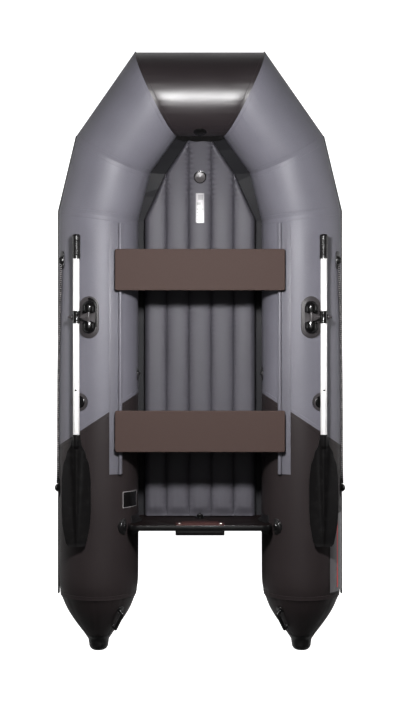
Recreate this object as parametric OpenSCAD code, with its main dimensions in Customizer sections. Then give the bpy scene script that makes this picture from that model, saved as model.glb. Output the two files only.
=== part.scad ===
// Inflatable dinghy with an inflatable floor, a plywood transom, sliding benches and stowed oars.
// +Y points to the bow, +X to starboard and +Z up. The tubes rest on z = 0.

/* [Hull tubes] */
// Length over all, from the stern caps to the strake at the bow
hull_len = 3200; // [2650:10:3900]
// Radius of the inflated tubes
tube_r = 215; // [175:1:260]
// Thickness of the coated fabric
skin_t = 1.2; // [0.9:0.1:2]
// Thickness of the double bottom fabric
bottom_t = 2.6; // [2.4:0.1:3.4]
// Distance from the middle to a side tube's axis
side_x = 552; // [455:1:670]
// Rise of the bow tube's axis over the side tubes' axes
bow_rise = 190; // [120:1:230]
// Rise of the tube's axis at the shoulder bend
shoulder_rise = 60; // [30:1:90]
// Half length of the bow tube's axis
bow_half = 229; // [190:1:275]
// Distance from the middle to the shoulder bend, short of the side tube's axis
shoulder_in = 87; // [60:1:110]
// Distance from the bow tube's axis aft to the shoulder bend
shoulder_back = 292; // [240:1:350]
// Distance from the bow tube's axis aft to the forward bend
forward_back = 617; // [510:1:740]
// Length of a stern cone
cone_len = 246; // [200:1:300]
// Radius of a stern cone's small end
cone_end_r = 52; // [46:1:66]
// Length of the rubber cap behind a cone
cap_len = 60; // [48:1:72]
// How far the dark stern panel starts ahead of the transom, at the tube's axis
panel_ahead = 574; // [470:1:690]
// Angle of the stern panel's seam to the transom
panel_deg = 33.5; // [20:0.5:40]
// How far the rub strake stands out from the tube
strake_out = 8; // [6:0.5:10]
// Radius of the rub strake's round face
strake_r = 22; // [18:0.5:26]

/* [Bottom and floor] */
// Height of the keel line above the ground
keel_z = 14; // [11:0.5:17]
// Angle round the tube from its lowest point to the bottom fabric's bond
bond_deg = 35; // [30:1:40]
// Distance from the bow tube's axis aft to where the bottom starts to rise
rise_back = 677; // [560:1:810]
// Rise of the floor at its fore end
floor_rise = 160; // [133:1:170]
// Distance from the bow tube's axis aft to the floor's fore end
floor_short = 190; // [186:1:228]
// Width of one floor rib
rib_w = 124; // [103:1:130]
// Height of a rib's crest over its valleys
rib_crown = 19; // [16:0.5:22]
// Height of the crests above the keel line
floor_h = 106; // [90:1:125]
// Gap between the floor's aft end and the transom
floor_gap = 6; // [4:0.5:10]
// Width of the keel guard strip
guard_w = 60; // [50:1:72]
// Thickness of the keel guard strip
guard_t = 3; // [2:0.1:4]

/* [Transom] */
// Distance from the stern tip to the transom's aft face
transom_fore = 680; // [570:1:800]
// Thickness of the transom board
transom_t = 24; // [20:0.5:29]
// Height of the transom's top edge
transom_z = 430; // [400:1:450]
// Half width of the transom's top
transom_half = 376; // [350:1:380]
// Corner radius of the transom's top
transom_round = 50; // [40:1:60]
// Thickness of the edge trim
trim_t = 5; // [4:0.5:7]
// Width of the motor pads
pad_w = 258; // [215:1:310]
// Thickness of the outer motor pad
pad_out_t = 27; // [22:0.5:32]
// Height of the outer motor pad
pad_out_h = 135; // [112:1:160]
// Thickness of the inner motor pad
pad_in_t = 12; // [10:0.5:15]
// Height of the inner motor pad
pad_in_h = 86; // [72:1:100]
// Distance between the pads' two bolts
bolt_span = 216; // [180:1:230]
// Radius of the pads' bolts
bolt_r = 4; // [3.4:0.1:4.8]
// Height of the drain valve's axis
drain_z = 150; // [148:1:170]
// Radius of the drain valve's flange
drain_r = 26; // [22:0.5:31]
// Radius of the drain valve's hole
drain_bore = 11; // [9:0.2:13]
// Radius of the rubber holder at each transom corner
holder_r = 42; // [35:1:50]

/* [Benches] */
// Length of a bench board
bench_len = 894; // [860:1:920]
// Width of a bench board
bench_w = 218; // [182:1:260]
// Thickness of a bench board
bench_t = 15; // [12:0.5:18]
// Height of the benches' underside
bench_z = 425; // [420:1:440]
// Distance from the forward bend back to the front bench's middle
bench_front_back = 309; // [280:1:340]
// Distance from the transom's inner face ahead to the rear bench's middle
bench_rear_ahead = 497; // [465:1:520]
// Distance from the transom's inner face to a rail's aft end
rail_ahead = 268; // [225:1:320]
// Distance from the forward bend back to a rail's fore end
rail_short = 59; // [50:1:70]
// Angle round the tube from its top to a rail's bead
bead_deg = 35.5; // [34:0.5:37]
// Radius of a rail's bead
bead_r = 11; // [9.5:0.5:12]
// Running clearance round the bead
bead_gap = 0.5; // [0.4:0.1:0.8]

/* [Oars] */
// Distance from the forward bend back to the oarlocks
lock_back = 559; // [520:1:590]
// Distance of the oarlock axles outboard of the tube's axis
lock_out = 32; // [27:1:38]
// Height of the axles and the stowed oars above the tube's top
lock_h = 25; // [24:0.5:30]
// Distance of the stowed oars outboard of the axles
oar_out = 64; // [60:1:77]
// Radius of the oar's shaft
shaft_r = 17.5; // [15:0.5:18]
// Wall of the oar's shaft
shaft_t = 1.5; // [1.2:0.1:2]
// Length of the oar
oar_len = 1635; // [1370:5:1700]
// How much of the oar is ahead of the oarlock
oar_fore = 434; // [400:1:520]
// Length of the hand grip
grip_len = 128; // [107:1:154]
// Radius of the hand grip
grip_r = 21.5; // [20:0.5:22]
// Length of the blade
blade_len = 574; // [480:1:690]
// Width of the blade
blade_w = 153; // [128:1:155]
// Thickness of the blade
blade_t = 6; // [5:0.5:8]
// Radius of the axle and of the stem through the oar
pin_r = 6; // [5:0.1:7]
// Running clearance round the pins
pin_gap = 0.1; // [0.05:0.01:0.1]
// Distance between the two horns of an oarlock
horn_gap = 53; // [45:0.5:62]

/* [Fittings] */
// Radius of a valve's flange on the floor
valve_r = 34.5; // [30:0.5:40]
// Radius of a valve's patch on a tube
valve_patch_r = 47.5; // [42:0.5:52]
// Radius of a valve's body
valve_body_r = 24; // [21:0.5:27]
// Radius of a valve's bore
valve_bore_r = 19; // [16.5:0.5:20]
// Distance of the side valves ahead of the stern panel's seam
valve_ahead = 101; // [60:1:140]
// Distance of the floor valve aft of the bow tube's axis
floor_valve_back = 397; // [331:1:476]
// Diameter of the grab lines
line_d = 11; // [9:0.5:13]
// Radius of a grab line hub's dome
hub_r = 22; // [18:0.5:26]
// Distance of the stern handles ahead of the stern tip
handle_fore = 193; // [185:1:210]
// Length of a stern handle between its feet
handle_len = 104; // [90:1:120]
// Distance of the strap eyes ahead of the stern panel's seam
eye_ahead = 248; // [210:1:290]
// Distance of the aft grab line hubs above the middle of the strake
hub_over_strake = 45; // [41:0.5:54]

/* [Hidden] */
$fn = 96;
big = 2 * hull_len;
fit = 0.3;                                  // clearance of a piece laid on a tube

half_len = hull_len / 2;
bow_y = half_len - tube_r - strake_out;
forward_y = bow_y - forward_back;
cone_y = -half_len + cap_len + cone_len;
transom_y = -half_len + transom_fore;       // aft face of the transom board
inner_y = transom_y + transom_t;            // fore face of the transom board
panel_y = transom_y + panel_ahead;
valve_y = panel_y + valve_ahead;
lock_y = forward_y - lock_back;
bench_front_y = forward_y - bench_front_back;
bench_rear_y = inner_y + bench_rear_ahead;

p1 = [bow_half, bow_y, tube_r + bow_rise];
p2 = [side_x - shoulder_in, bow_y - shoulder_back, tube_r + shoulder_rise];
p3 = [side_x, forward_y, tube_r];
p4 = [side_x, cone_y, tube_r];
panel_p = [side_x, panel_y, tube_r];

function unit(v) = v / norm(v);
m1 = [1, 0, 0] + unit(p2 - p1);             // normals of the mitres where the tube bends
m2 = unit(p2 - p1) + unit(p3 - p2);
m3 = unit(p3 - p2) + [0, -1, 0];
panel_n = [-sin(panel_deg), -cos(panel_deg), 0];

// ---- helpers ----
module both() { children(); mirror([1, 0, 0]) children(); }

module aim(d) { rotate([0, acos(d[2] / norm(d)), atan2(d[1], d[0])]) children(); }

module rod(a, b, r, over = 0)
    translate(a) aim(b - a) translate([0, 0, -over]) cylinder(r = r, h = norm(b - a) + 2 * over);

module beyond(p, n)                         // everything past the plane at p that faces along n
    translate(p) aim(n) translate([-big / 2, -big / 2, 0]) cube([big, big, big]);

module sleeve(a, b, na, nb) {               // a hollow stretch of tube
    difference() {
        rod(a, b, tube_r, tube_r);
        rod(a, b, tube_r - skin_t, tube_r + 10);
        beyond(a, -na);
        beyond(b, nb);
    }
}

module side_volume(r) translate([side_x, 0, tube_r]) rotate([90, 0, 0]) cylinder(r = r, h = big, center = true);

module cone_volume(e)
    translate([side_x, cone_y, tube_r]) rotate([90, 0, 0])
        cylinder(r1 = tube_r + e, r2 = cone_end_r + e, h = cone_len);

module on_side(y, deg)                      // a frame on the starboard tube, +Z out of it, deg outboard
    translate([side_x, y, tube_r]) rotate([0, deg, 0]) translate([0, 0, tube_r]) children();

module round_rect(w, l, r) {
    square([w - 2 * r, l], center = true);
    square([w, l - 2 * r], center = true);
    for (x = [-1, 1], y = [-1, 1]) translate([x * (w / 2 - r), y * (l / 2 - r)]) circle(r);
}

// ---- inflated tubes ----
module bow_tube() {
    color([0.10, 0.095, 0.10]) difference() {
        sleeve([-p1[0], p1[1], p1[2]], p1, [m1[0], -m1[1], -m1[2]], m1);
        at_bow_valve() translate([0, 0, -60]) cylinder(r = valve_body_r + fit, h = 80);
    }
}
module tube_shoulders() color([0.44, 0.43, 0.46]) both() sleeve(p1, p2, m1, m2);
module tube_forwards() color([0.44, 0.43, 0.46]) both() sleeve(p2, p3, m2, m3);
module side_tube() {
    color([0.44, 0.43, 0.46]) difference() {
        sleeve(p3, panel_p, m3, panel_n);
        at_side_valve() translate([0, 0, -60]) cylinder(r = valve_body_r + fit, h = 80);
    }
}
module stern_tube() color([0.16, 0.14, 0.15]) sleeve(panel_p, p4, panel_n, [0, -1, 0]);

module stern_cones() {
    color([0.16, 0.14, 0.15]) both() translate(p4) rotate([90, 0, 0]) rotate_extrude()
        polygon([[tube_r, 0], [cone_end_r, cone_len], [cone_end_r - skin_t, cone_len],
                 [tube_r - 1.2 * skin_t, 0]]);
}

module cone_caps() {
    skirt = 28;
    wall = 4;
    tip_r = 26;
    slope = (tube_r - cone_end_r) / cone_len;
    skirt_r = cone_end_r + slope * skirt;
    color([0.07, 0.07, 0.07]) both() translate(p4) rotate([90, 0, 0]) rotate_extrude() polygon(concat(
        [[0, cone_len + fit], [cone_end_r + fit, cone_len + fit], [skirt_r + fit, cone_len - skirt],
         [skirt_r + wall, cone_len - skirt], [cone_end_r + wall, cone_len]],
        [for (t = [0:15:90]) [tip_r + (cone_end_r + wall - 4 - tip_r) * cos(t),
                              cone_len + cap_len - 34 + 34 * sin(t)]],
        [[0, cone_len + cap_len]]));
}

module bulkheads() {                        // baffles between the three air chambers
    mid = (p1 + p2) / 2;
    d = unit(p2 - p1);
    color("dimgray") both() rod(mid - d * skin_t / 2, mid + d * skin_t / 2, tube_r - skin_t - fit);
}

module strake_run(a, b, na, nb) {
    off = unit(cross([0, 0, 1], b - a)) * (tube_r + strake_out - strake_r);
    joint = unit(b - a) * 0.2;              // the lengths are butted at the bends
    difference() {
        rod(a + off, b + off, strake_r, tube_r * 1.3);
        rod(a, b, (tube_r + fit) / cos(180 / $fn), tube_r * 1.4);
        beyond(a + joint, -na);
        beyond(b - joint, nb);
    }
}
module rub_strake() {
    color([0.12, 0.11, 0.12]) {
        strake_run([-p1[0], p1[1], p1[2]], p1, [m1[0], -m1[1], -m1[2]], m1);
        both() {
            strake_run(p1, p2, m1, m2);
            strake_run(p2, p3, m2, m3);
            strake_run(p3, p4, m3, [0, -1, 0]);
        }
    }
}

// ---- bottom and inflatable floor ----
rise_y = bow_y - rise_back;
bond_gap = 6;                               // from a tube's surface to the bottom fabric's edge
floor_y0 = inner_y + floor_gap;
floor_y1 = bow_y - floor_short;
keel_y1 = bow_y - (tube_r + bond_gap) * sin(45);
keel_z1 = tube_r + bow_rise - (tube_r + bond_gap) * cos(45);

function keel_at(y) = keel_z + (keel_z1 - keel_z) * pow(max(0, y - rise_y) / (keel_y1 - rise_y), 2);
floor_bend = floor_rise / pow(floor_y1 - rise_y, 2);
function crest_at(y) = keel_z + floor_h + floor_bend * pow(max(0, y - rise_y), 2);
function bond(axis, n, far, deg) = axis + (tube_r + bond_gap) * far * (sin(deg) * n - [0, 0, cos(deg)]);

n12 = -unit(cross([0, 0, 1], p2 - p1));     // inboard normals of the tube's stretches
n23 = -unit(cross([0, 0, 1], p3 - p2));
// the bottom fabric's edge along the starboard tube, each with the keel point that goes with it
bottom_rows = [
    [bond([side_x, transom_y, tube_r], [-1, 0, 0], 1, bond_deg), transom_y],
    [bond([side_x, rise_y, tube_r], [-1, 0, 0], 1, bond_deg), rise_y],
    [bond(p3, unit(n23 + [-1, 0, 0]), 1.02, bond_deg + 2), rise_y + 80],
    [bond((p2 + p3) / 2, n23, 1, bond_deg + 4), rise_y + 190],
    [bond(p2, unit(n12 + n23), 1.06, bond_deg + 6), rise_y + 300],
    [bond((p1 + p2) / 2, n12, 1.015, bond_deg + 9), rise_y + 420],
    [bond(p1, unit(n12 + [0, -1, 0]), 1.22, bond_deg + 14), keel_y1]];

module skin_between(rings) {                // closed rings of points joined into one solid
    n = len(rings);
    m = len(rings[0]);
    last = (n - 1) * m;
    polyhedron([for (r = rings, q = r) q], concat(
        // both walls are split along the same diagonal, so that they keep their distance
        [for (i = [0:n - 2], k = [0:m / 2 - 1]) let(j = k + 1) [i * m + k, i * m + j, (i + 1) * m + j]],
        [for (i = [0:n - 2], k = [0:m / 2 - 1]) let(j = k + 1) [i * m + k, (i + 1) * m + j, (i + 1) * m + k]],
        [for (i = [0:n - 2], k = [m / 2:m - 1]) let(j = (k + 1) % m) [i * m + k, i * m + j, (i + 1) * m + k]],
        [for (i = [0:n - 2], k = [m / 2:m - 1]) let(j = (k + 1) % m) [i * m + j, (i + 1) * m + j, (i + 1) * m + k]],
        [for (k = [0:m / 2 - 2]) [k, m - 1 - k, k + 1]],                // each outer point faces an inner one
        [for (k = [0:m / 2 - 2]) [k + 1, m - 1 - k, m - 2 - k]],
        [for (k = [0:m / 2 - 2]) [last + k, last + k + 1, last + m - 1 - k]],
        [for (k = [0:m / 2 - 2]) [last + k + 1, last + m - 2 - k, last + m - 1 - k]]));
}

module bottom_skin() {
    up = [0, 0, bottom_t];
    color([0.2, 0.19, 0.2]) skin_between([for (r = bottom_rows)
        let(e = r[0], w = [-e[0], e[1], e[2]], k = [0, r[1], keel_at(r[1])])
        [w, k, e, e + up, k + up, w + up]]);
}

bond_x = bottom_rows[0][0][0];
bond_h = bottom_rows[0][0][2] - keel_z;
module keel_guard() {
    rise = bond_h / bond_x * guard_w / 2;
    color([0.1, 0.1, 0.1]) translate([0, rise_y, keel_z]) rotate([90, 0, 0])
        linear_extrude(rise_y - transom_y)
            polygon([[-guard_w / 2, rise - guard_t], [0, -guard_t], [guard_w / 2, rise - guard_t],
                     [guard_w / 2, rise], [0, 0], [-guard_w / 2, rise]]);
}

// half width of the floor along its length
function floor_half(y) = lookup(y, [[forward_y, 2.5 * rib_w], [bow_y - 379, 1.5 * rib_w + 8],
                                    [bow_y - 212, 71], [floor_y1, 40]]);
function rib_at(x) = let(u = (abs(x) + rib_w / 2) % rib_w / rib_w * 2 - 1) rib_crown * (1 - u * u);
function under_at(x, y) = keel_at(y) + bottom_t + (y > rise_y ? 10 : fit) + bond_h / bond_x * abs(x);
floor_rows = concat([floor_y0, rise_y], [for (y = [rise_y + 60:60:floor_y1 - 30]) y], [floor_y1]);
floor_cols = 20;                            // facets each side of the middle
crown_r = 1.05 * pow(rib_w / 2, 2) / (2 * rib_crown);       // a round that clears the top of a rib

function floor_ring(y) = let(w = floor_half(y), base = crest_at(y) - rib_crown) concat(
    [[-w, y, under_at(w, y)]],
    [for (i = [-floor_cols:floor_cols]) let(x = w * i / floor_cols) [x, y, base + rib_at(x)]],
    [[w, y, under_at(w, y)], [w - skin_t, y, under_at(w, y)]],
    [for (i = [floor_cols:-1:-floor_cols]) let(x = (w - skin_t) * i / floor_cols)
        [x, y, base + rib_at(x) - skin_t]],
    [[-w + skin_t, y, under_at(w, y)]]);

module floor_top() {                        // ribbed sheet, turned down to the bottom along its sides
    color([0.44, 0.43, 0.46]) difference() {
        skin_between([for (y = floor_rows) floor_ring(y)]);
        at_floor_valve() translate([0, 0, -60]) cylinder(r = valve_body_r + fit, h = 80);
    }
}

module floor_web(x) {                       // upright web from the bottom to a valley between ribs
    rows = [for (y = floor_rows) if (floor_half(y) > x + 5) y];
    translate([x - skin_t / 2, 0, 0]) rotate([90, 0, 90]) linear_extrude(skin_t) polygon(concat(
        [for (y = rows) [y, crest_at(y) - rib_crown - skin_t - 1]],
        [for (i = [len(rows) - 1:-1:0]) [rows[i], under_at(x, rows[i])]]));
}
module floor_webs() color([0.4, 0.4, 0.42]) both() {
    floor_web(0.5 * rib_w);
    floor_web(1.5 * rib_w);
}

// ---- transom ----
module transom_outline(e) {
    top_half = transom_half + e;
    corner = transom_round + e;
    translate([-top_half, tube_r]) square([2 * top_half, transom_z + e - corner - tube_r]);
    translate([-top_half + corner, tube_r]) square([2 * (top_half - corner), transom_z + e - tube_r]);
    for (x = [-1, 1]) translate([x * (top_half - corner), transom_z + e - corner]) circle(corner);
    low = bottom_t + fit;
    polygon([[-bond_x, keel_z + bond_h + low], [0, keel_z + low], [bond_x, keel_z + bond_h + low],
             [bond_x, tube_r + 1], [-bond_x, tube_r + 1]]);
}

module stand(y0, t) translate([0, y0 + t, 0]) rotate([90, 0, 0]) linear_extrude(t) children();

module at_bolts() for (x = [-1, 1]) translate([x * bolt_span / 2, 0, transom_z - 26]) children();

module bolt_holes(y0, t) at_bolts() translate([0, y0 + t + 1, 0]) rotate([90, 0, 0])
    cylinder(r = bolt_r + 0.05, h = t + 2);

module transom_board() {
    color([0.17, 0.10, 0.09]) difference() {
        stand(transom_y, transom_t) transom_outline(0);
        both() side_volume(tube_r + fit);
        both() at_holder() translate([0, 0, -20]) cylinder(r = holder_r + fit, h = 20 + holder_h + fit);
        both() at_holder() cylinder(r = holder_boss_r + fit, h = holder_boss_h + fit);
        bolt_holes(transom_y, transom_t);
        translate([0, inner_y + 1, drain_z]) rotate([90, 0, 0])
            cylinder(r = drain_bore + 5.05, h = transom_t + 2);
    }
}

module transom_trim() {
    color([0.05, 0.05, 0.05]) difference() {
        stand(transom_y - 2, transom_t + 4) difference() {
            transom_outline(trim_t);
            transom_outline(0);
            translate([-side_x, -10]) square([2 * side_x, 1.6 * tube_r + 10]);
        }
        both() side_volume(tube_r + fit);
        both() at_holder() translate([0, 0, -20]) cylinder(r = holder_r + fit, h = 20 + holder_h + fit);
        both() at_holder() cylinder(r = holder_boss_r + fit, h = holder_boss_h + fit);
    }
}

module bracket_ring(y0, lip_y) {            // an angle strip bent round the tube against the board
    translate([side_x, 0, tube_r]) rotate([90, 0, 0]) rotate([0, 0, 148]) rotate_extrude(angle = 80) {
        translate([tube_r + fit, -y0 - 40]) square([2.5, 40]);
        translate([tube_r + fit, -lip_y - 3]) square([20, 3]);
    }
}
module transom_brackets() {
    color([0.08, 0.08, 0.08]) both() {
        bracket_ring(inner_y, inner_y);
        bracket_ring(transom_y - 40, transom_y - 3);
    }
}

holder_deg = 44;
holder_h = 4;
holder_boss_r = 15;
holder_boss_h = 14;
module at_holder() on_side((transom_y + inner_y) / 2, -holder_deg) children();

module transom_holders() {
    color([0.05, 0.05, 0.05]) both() difference() {
        union() {
            at_holder() translate([0, 0, -12]) cylinder(r = holder_r, h = 12 + holder_h);
            at_holder() rotate_extrude() polygon([[0, 0], [holder_r - 8, 0], [holder_r - 14, holder_h + 3],
                [holder_boss_r, holder_h + 4], [holder_boss_r, holder_boss_h - 3],
                [holder_boss_r - 3, holder_boss_h], [0, holder_boss_h]]);
        }
        side_volume(tube_r + fit);
        bracket_room();
    }
}
module bracket_room()                       // the brackets' ends pass under the holder
    translate([side_x, 0, tube_r]) rotate([90, 0, 0]) rotate([0, 0, 135.5]) rotate_extrude(angle = 93)
        translate([tube_r - 1, -inner_y - 41]) square([23, transom_t + 84]);

pad_z = transom_z - 4;
module motor_pad_outer() {
    color([0.06, 0.06, 0.06]) difference() {
        stand(transom_y - pad_out_t, pad_out_t) translate([0, pad_z - pad_out_h / 2])
            round_rect(pad_w, pad_out_h, 8);
        bolt_holes(transom_y - 16, 16);
    }
}
bolt_head = 5;
land_y = inner_y + pad_in_t - bolt_head - fit;          // lowered ends of the pad, where the bolts' heads sit
module motor_pad_inner() {
    color([0.30, 0.18, 0.16]) difference() {
        stand(inner_y, pad_in_t) translate([0, pad_z - pad_in_h / 2]) round_rect(pad_w, pad_in_h, 8);
        bolt_holes(inner_y, pad_in_t);
        both() translate([bolt_span / 2 - bolt_r - 7, land_y, 0]) cube([pad_w, pad_in_t, transom_z + 50]);
    }
}
module pad_bolts() {
    color("silver") at_bolts() translate([0, land_y, 0]) rotate([90, 0, 0]) {
        translate([0, 0, -bolt_head]) cylinder(r1 = bolt_r + 1, r2 = bolt_r + 3, h = bolt_head);
        cylinder(r = bolt_r, h = land_y - inner_y + transom_t + 14);
    }
}

module drain_valve() {
    color([0.05, 0.05, 0.05]) translate([0, inner_y, drain_z]) rotate([90, 0, 0]) difference() {
        union() {
            translate([0, 0, -5]) cylinder(r = drain_r, h = 5);
            cylinder(r = drain_bore + 5, h = transom_t + 4);
        }
        translate([0, 0, -6]) cylinder(r = drain_bore, h = transom_t + 12);
    }
}
module drain_plug() {
    color([0.03, 0.03, 0.03]) translate([0, inner_y + 5, drain_z]) rotate([90, 0, 0]) {
        cylinder(r = drain_bore - pin_gap, h = transom_t);
        for (a = [90, 210, 330]) rotate([0, 0, a]) translate([10, 0, -14]) cylinder(r = 8, h = 14 - fit);
        translate([0, 0, -16]) cylinder(r = drain_bore - 0.5, h = 17);
        translate([0, 0, -24]) cylinder(r = 5, h = 12);
    }
}

// ---- bench rails and benches ----
rail_y0 = inner_y + rail_ahead;
rail_y1 = forward_y - rail_short;
bead_d = tube_r + 9;
bead_x = side_x - bead_d * sin(bead_deg);
bead_z = tube_r + bead_d * cos(bead_deg);

module bench_rail() {                       // glued strip with the bead that the bench shoes grip
    color([0.5, 0.49, 0.53]) difference() {
        translate([0, rail_y1, 0]) rotate([90, 0, 0]) linear_extrude(rail_y1 - rail_y0) {
            difference() {
                translate([side_x, tube_r]) circle(tube_r + 2.5);
                translate([side_x, tube_r]) circle(tube_r + fit);
                translate([side_x, tube_r]) rotate(90 + 37.5) square([big, big]);
                translate([side_x, tube_r]) rotate(90 + 20) mirror([0, 1]) square([big, big]);
                translate([-big, -big]) square([2 * big, big + tube_r]);
                translate([side_x, 0]) square([big, big]);
            }
            difference() {
                translate([bead_x, bead_z]) circle(bead_r);
                translate([side_x, tube_r]) circle(tube_r + fit);
            }
        }
        for (y = [rail_y0, rail_y1]) translate([bead_x - 24, y, bead_z]) rotate([0, 0, 45])
            cube([26, 26, 60], center = true);
    }
}

module bench_board(y) {
    color([0.37, 0.31, 0.30]) translate([0, y, bench_z]) linear_extrude(bench_t)
        round_rect(bench_len, bench_w, 10);
}
module bench_shoes(y) {
    shoe_len = bench_w - 20;
    color([0.15, 0.15, 0.16]) both() translate([0, y + shoe_len / 2, 0]) rotate([90, 0, 0])
        linear_extrude(shoe_len) difference() {
            union() {
                translate([bead_x, bead_z]) circle(bead_r + 4.5);
                translate([bead_x - 14, bead_z]) square([28, bench_z - bead_z]);
            }
            translate([bead_x, bead_z]) circle(bead_r + bead_gap);
            translate([side_x, tube_r]) circle(tube_r + 5);
        }
}

// ---- valves ----
floor_valve_y = bow_y - floor_valve_back;
side_valve_deg = 23;
bow_valve_deg = 75;
module at_side_valve() on_side(valve_y, side_valve_deg) children();
module at_bow_valve() translate([0, bow_y, tube_r + bow_rise]) rotate([bow_valve_deg, 0, 0])
    translate([0, 0, tube_r]) children();
module at_floor_valve() translate([0, floor_valve_y, crest_at(floor_valve_y)])
    rotate([atan(2 * floor_bend * (floor_valve_y - rise_y)), 0, 0]) children();

module valve_body(r, drop) {
    difference() {
        union() {
            translate([0, 0, -drop]) cylinder(r = r, h = drop + 3);
            translate([0, 0, 3]) cylinder(r1 = valve_r - 2, r2 = valve_r - 5, h = 2.5);
            translate([0, 0, -40]) cylinder(r = valve_body_r, h = 42);
        }
        translate([0, 0, -36]) cylinder(r = valve_bore_r, h = 60);
        translate([0, 0, -41]) cylinder(r = valve_bore_r - 6, h = 10);
    }
}
module valve_housings() {
    color([0.05, 0.05, 0.05]) {
        both() at_side_valve() seated_valve(valve_patch_r, [0, 1, 0]);
        at_bow_valve() seated_valve(valve_r, [1, 0, 0]);
        at_floor_valve() difference() {
            valve_body(valve_r, 6);
            translate([0, 0, 1.2 - crown_r]) rotate([90, 0, 0]) difference() {
                cylinder(r = crown_r, h = 200, center = true);
                rotate([-90, 0, 0]) cylinder(r = valve_body_r, h = 400, center = true);
            }
        }
    }
}
module seated_valve(r, along) {             // its flange follows the tube under it
    difference() {
        valve_body(r, 8);
        difference() {
            translate([0, 0, -tube_r]) aim(along) cylinder(r = tube_r + fit, h = 300, center = true);
            cylinder(r = valve_body_r, h = 200, center = true);
        }
    }
}
module valve_cap() {
    color([0.03, 0.03, 0.03]) {
        translate([0, 0, 5.8]) cylinder(r = valve_r - 6, h = 4);
        translate([0, 0, -3]) cylinder(r = valve_bore_r - 0.5, h = 9);
        translate([0, 0, 9]) cylinder(r = 9, h = 4);
        translate([-18, -2.5, 9]) cube([36, 5, 3.5]);
    }
}
module valve_poppet() {
    color([0.75, 0.75, 0.72]) {
        translate([0, 0, -29]) cylinder(r = valve_bore_r - 3, h = 4);
        translate([0, 0, -26]) cylinder(r = 4, h = 17);
        translate([0, 0, -10]) cylinder(r = 8, h = 4);
    }
}

// ---- oarlocks and oars ----
lock_x = side_x + lock_out;
lock_z = 2 * tube_r + lock_h;
oar_x = lock_x + oar_out;
lock_deg = asin(lock_out / tube_r);
horn_r = 34;
base_top = 8;

module slot_shape(w, l) {
    square([w, l - w], center = true);
    for (s = [-1, 1]) translate([0, s * (l - w) / 2]) circle(w / 2);
}

module oarlock_bases() {
    color([0.06, 0.06, 0.06]) both() difference() {
        union() {
            on_side(lock_y, lock_deg) translate([0, 0, -10]) {
                linear_extrude(10 + 4) slot_shape(104, 221);
                linear_extrude(10 + base_top) slot_shape(88, 205);
            }
            for (s = [-1, 1]) difference() {
                union() {
                    translate([lock_x, lock_y + s * 52, lock_z - 19]) sphere(horn_r);
                    translate([lock_x, lock_y + s * 52, lock_z - 19]) rotate([s * 90, 0, 0])
                        cylinder(r = horn_r, h = 52 - horn_gap / 2);
                }
                translate([lock_x, lock_y, lock_z - 60 - tube_r / 2]) cube([200, 300, 60 + tube_r / 2], center = true);
            }
        }
        side_volume(tube_r + fit);
        translate([lock_x, lock_y, lock_z]) rotate([90, 0, 0]) cylinder(r = 13, h = horn_gap - 1, center = true);
        translate([lock_x, lock_y, lock_z]) rotate([90, 0, 0]) cylinder(r = pin_r, h = horn_gap + 30, center = true);
    }
}
module oarlock_axles() {
    color("silver") both() translate([lock_x, lock_y, lock_z]) rotate([90, 0, 0])
        cylinder(r = pin_r, h = horn_gap + 30, center = true);
}
nut_in = 24;                                // from the oar's axis to the nut's inner face
module oarlock_tee() {
    tee_half = horn_gap / 2 - 2;
    color([0.35, 0.34, 0.36]) difference() {
        translate([lock_x, lock_y, lock_z]) {
            rotate([90, 0, 0]) cylinder(r = 9, h = 2 * tee_half, center = true);
            rotate([0, 90, 0]) cylinder(r = pin_r - 0.5, h = oar_out + 42);
            translate([0, 0, -3]) linear_extrude(6)
                polygon([[0, -tee_half], [oar_out - 28, -10], [oar_out - 28, 10], [0, tee_half]]);
            translate([oar_out + nut_in, 0, 0]) rotate([0, 90, 0]) cylinder(r = 14, h = 3);
            translate([oar_out + nut_in + 3, 0, 0]) rotate([0, 90, 0]) cylinder(r = 9, h = 9, $fn = 6);
        }
        translate([lock_x, lock_y, lock_z]) rotate([90, 0, 0])
            cylinder(r = pin_r + pin_gap, h = horn_gap + 30, center = true);
    }
}

module at_oar() translate([oar_x, lock_y, lock_z]) children();
module stem_hole() rotate([0, 90, 0]) cylinder(r = pin_r - 0.5 + pin_gap, h = 80, center = true);
module along_oar(y0, y1, r) translate([0, y1, 0]) rotate([90, 0, 0]) cylinder(r = r, h = y1 - y0);

blade_end = oar_fore - oar_len;
blade_neck = blade_end + blade_len;
button_y = -383;
button_r = 4;
module oar_shaft() {
    color("silver") at_oar() difference() {
        along_oar(blade_neck - 50, oar_fore - 30, shaft_r);
        along_oar(blade_neck - 51, oar_fore - 29, shaft_r - shaft_t);
        stem_hole();
        translate([0, button_y, 0]) cylinder(r = button_r + 0.4, h = 40);
    }
}
module oar_button() {                       // spring button that locks the shaft's two halves
    color([0.04, 0.04, 0.04]) at_oar() translate([0, button_y, 0]) {
        translate([0, 0, 8]) cylinder(r = button_r, h = shaft_r - 4);
        translate([0, 0, 6]) cylinder(r = button_r + 2, h = 3);
    }
}
module oar_grip() {
    color([0.05, 0.05, 0.05]) at_oar() difference() {
        union() {
            along_oar(oar_fore - grip_len, oar_fore - 8, grip_r);
            along_oar(oar_fore - 9, oar_fore, grip_r - 3);
        }
        along_oar(oar_fore - grip_len - 1, oar_fore - 30, shaft_r);
    }
}
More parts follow.
